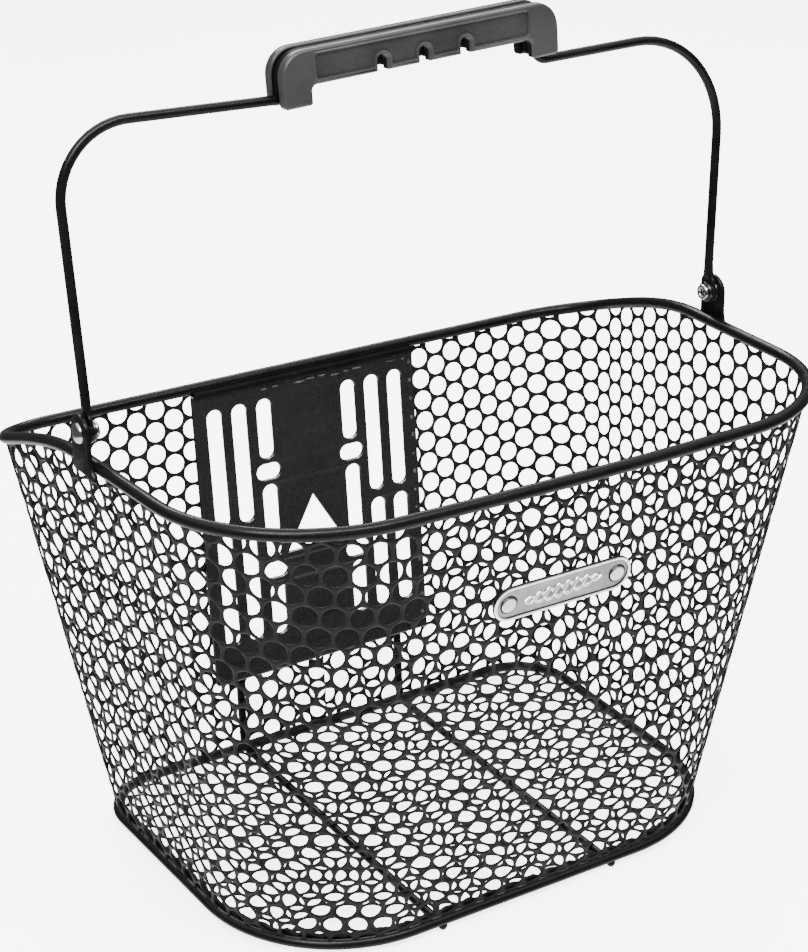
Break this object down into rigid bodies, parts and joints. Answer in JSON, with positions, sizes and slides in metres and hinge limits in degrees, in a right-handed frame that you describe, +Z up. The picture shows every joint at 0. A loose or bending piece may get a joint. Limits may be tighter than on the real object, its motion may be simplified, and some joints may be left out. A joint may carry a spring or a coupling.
{
  "type": "bicycle handlebar basket",
  "caption": "Round-hole mesh basket with a folding bail handle and a slotted back plate that fixes it to a bicycle's handlebar.",
  "frame": {"origin": "under the middle of the rim, at the level the basket stands on", "axes": "+Z up, +Y to the back (the plate side), +X to the basket's right seen from the front"},
  "size_m": [0.3318, 0.2368, 0.3795],
  "materials": {
    "frame_black": "gloss powder coat",
    "mesh_black": "satin powder coat",
    "plate_black": "satin powder coat",
    "bail_black": "gloss powder coat",
    "zinc": "bright zinc plate",
    "grip_black": "satin moulded",
    "grip_core_black": "matte",
    "grip_panel_grain": "fine leather grain",
    "badge_silver": "satin cast"
  },
  "bodies": {
    "basket": {"rim_wire": "frame_black", "base_ring": "frame_black", "base_hem": "mesh_black", "wall_mesh": "mesh_black", "base_mesh": "mesh_black", "mounting_plate": "plate_black", "plate_weld": "plate_black", "support_wire_left": "frame_black", "support_wire_right": "frame_black", "pivot_bracket_left": "frame_black", "pivot_bracket_right": "frame_black", "spacer_washer_left": "zinc", "spacer_washer_right": "zinc", "inner_washer_left": "zinc", "inner_washer_right": "zinc", "pivot_rivet_left": "zinc", "pivot_rivet_right": "zinc", "badge_plate": "badge_silver", "badge_rivets": "badge_silver", "badge_washers": "zinc"},
    "bail": {"bail_wire": "bail_black", "grip_front_shell": "grip_black", "grip_rear_shell": "grip_black", "grip_core": "grip_core_black", "grip_panel": "grip_panel_grain", "grip_screws": "zinc"}
  },
  "joints": [
    {"name": "bail_pivot", "type": "hinge", "parent": "basket", "child": "bail", "pos_m": [0, 0.0058, 0.2318], "axis": [1, 0, 0], "range_deg": [-100, 90]}
  ]
}
